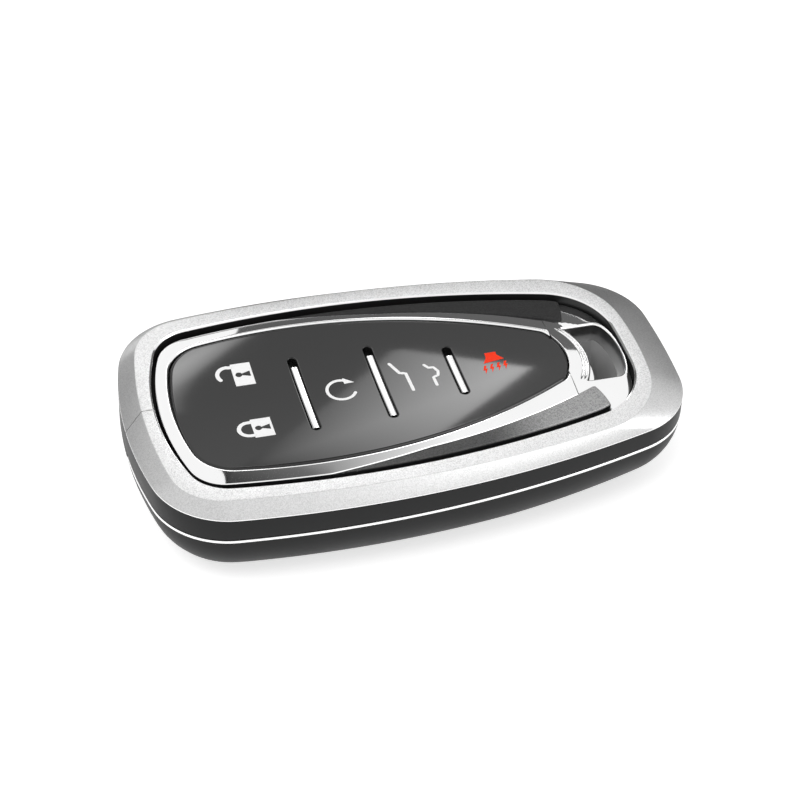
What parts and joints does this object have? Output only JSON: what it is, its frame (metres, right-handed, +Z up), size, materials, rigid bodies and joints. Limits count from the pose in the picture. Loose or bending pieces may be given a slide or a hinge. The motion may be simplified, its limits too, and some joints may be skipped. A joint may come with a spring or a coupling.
{
  "type": "key fob cover",
  "caption": "Two-piece hard cover with a satin metal window frame and a bright side line, closed around a keyless-entry fob with sprung buttons and a key-ring slot.",
  "frame": {"origin": "centre of the overall box at the level of the rest face under the rear shell", "axes": "+X from the nose to the key-ring end, +Y across to the unlock side, +Z up through the button face"},
  "size_m": [0.0842, 0.0482, 0.0149],
  "materials": {
    "satin_silver": "fine bead-blasted satin silver",
    "charcoal_shell": "satin charcoal lacquer",
    "bright_trim": "polished",
    "chrome": "polished",
    "pad_elastomer": "semi-gloss charcoal",
    "cheek_plastic": "fine grained grey",
    "fob_plastic": "black",
    "seal_rubber": "matt black",
    "steel": "bright",
    "board_laminate": "green solder mask",
    "chip_plastic": "moulded black",
    "switch_plastic": "moulded grey"
  },
  "bodies": {
    "rear_cover_and_fob": {"rear_shell": "charcoal_shell", "trim_strip": "bright_trim", "lining_pads": "seal_rubber", "fob_rear_housing": "fob_plastic", "fob_front_housing": "fob_plastic", "housing_seal": "seal_rubber", "chrome_bezel": "chrome", "key_head": "chrome", "key_blade": "steel", "blade_pin": "steel", "near_cheek": "cheek_plastic", "far_cheek": "cheek_plastic", "button_pad": "pad_elastomer", "separator_bar_1": "chrome", "separator_bar_2": "chrome", "separator_bar_3": "chrome", "circuit_board": "board_laminate", "coin_cell": "steel", "cell_contact": "steel", "cell_clip": "steel", "antenna_coil": "chip_plastic", "controller_chip": "chip_plastic", "radio_chip": "chip_plastic", "crystal": "steel", "unlock_switch": "chip_plastic", "lock_switch": "chip_plastic", "start_switch": "chip_plastic", "tailgate_switch": "chip_plastic", "panic_switch": "chip_plastic"},
    "front_cover": {"front_frame": "satin_silver", "front_band": "charcoal_shell"},
    "unlock_key": {"unlock_button": "pad_elastomer", "unlock_stem": "switch_plastic"},
    "lock_key": {"lock_button": "pad_elastomer", "lock_stem": "switch_plastic"},
    "start_key": {"start_button": "pad_elastomer", "start_stem": "switch_plastic"},
    "tailgate_key": {"tailgate_button": "pad_elastomer", "tailgate_stem": "switch_plastic"},
    "panic_key": {"panic_button": "pad_elastomer", "panic_stem": "switch_plastic"}
  },
  "joints": [
    {"name": "front_cover_lift", "type": "slide", "parent": "rear_cover_and_fob", "child": "front_cover", "axis": [0, 0, 1], "range_m": [0, 0.012]},
    {"name": "unlock_press", "type": "slide", "parent": "rear_cover_and_fob", "child": "unlock_key", "axis": [0, 0, -1], "range_m": [0, 0.0005], "stiffness_N_per_m": 4000},
    {"name": "lock_press", "type": "slide", "parent": "rear_cover_and_fob", "child": "lock_key", "axis": [0, 0, -1], "range_m": [0, 0.0005], "stiffness_N_per_m": 4000},
    {"name": "start_press", "type": "slide", "parent": "rear_cover_and_fob", "child": "start_key", "axis": [0, 0, -1], "range_m": [0, 0.0005], "stiffness_N_per_m": 4000},
    {"name": "tailgate_press", "type": "slide", "parent": "rear_cover_and_fob", "child": "tailgate_key", "axis": [0, 0, -1], "range_m": [0, 0.0005], "stiffness_N_per_m": 4000},
    {"name": "panic_press", "type": "slide", "parent": "rear_cover_and_fob", "child": "panic_key", "axis": [0, 0, -1], "range_m": [0, 0.0005], "stiffness_N_per_m": 4000}
  ]
}
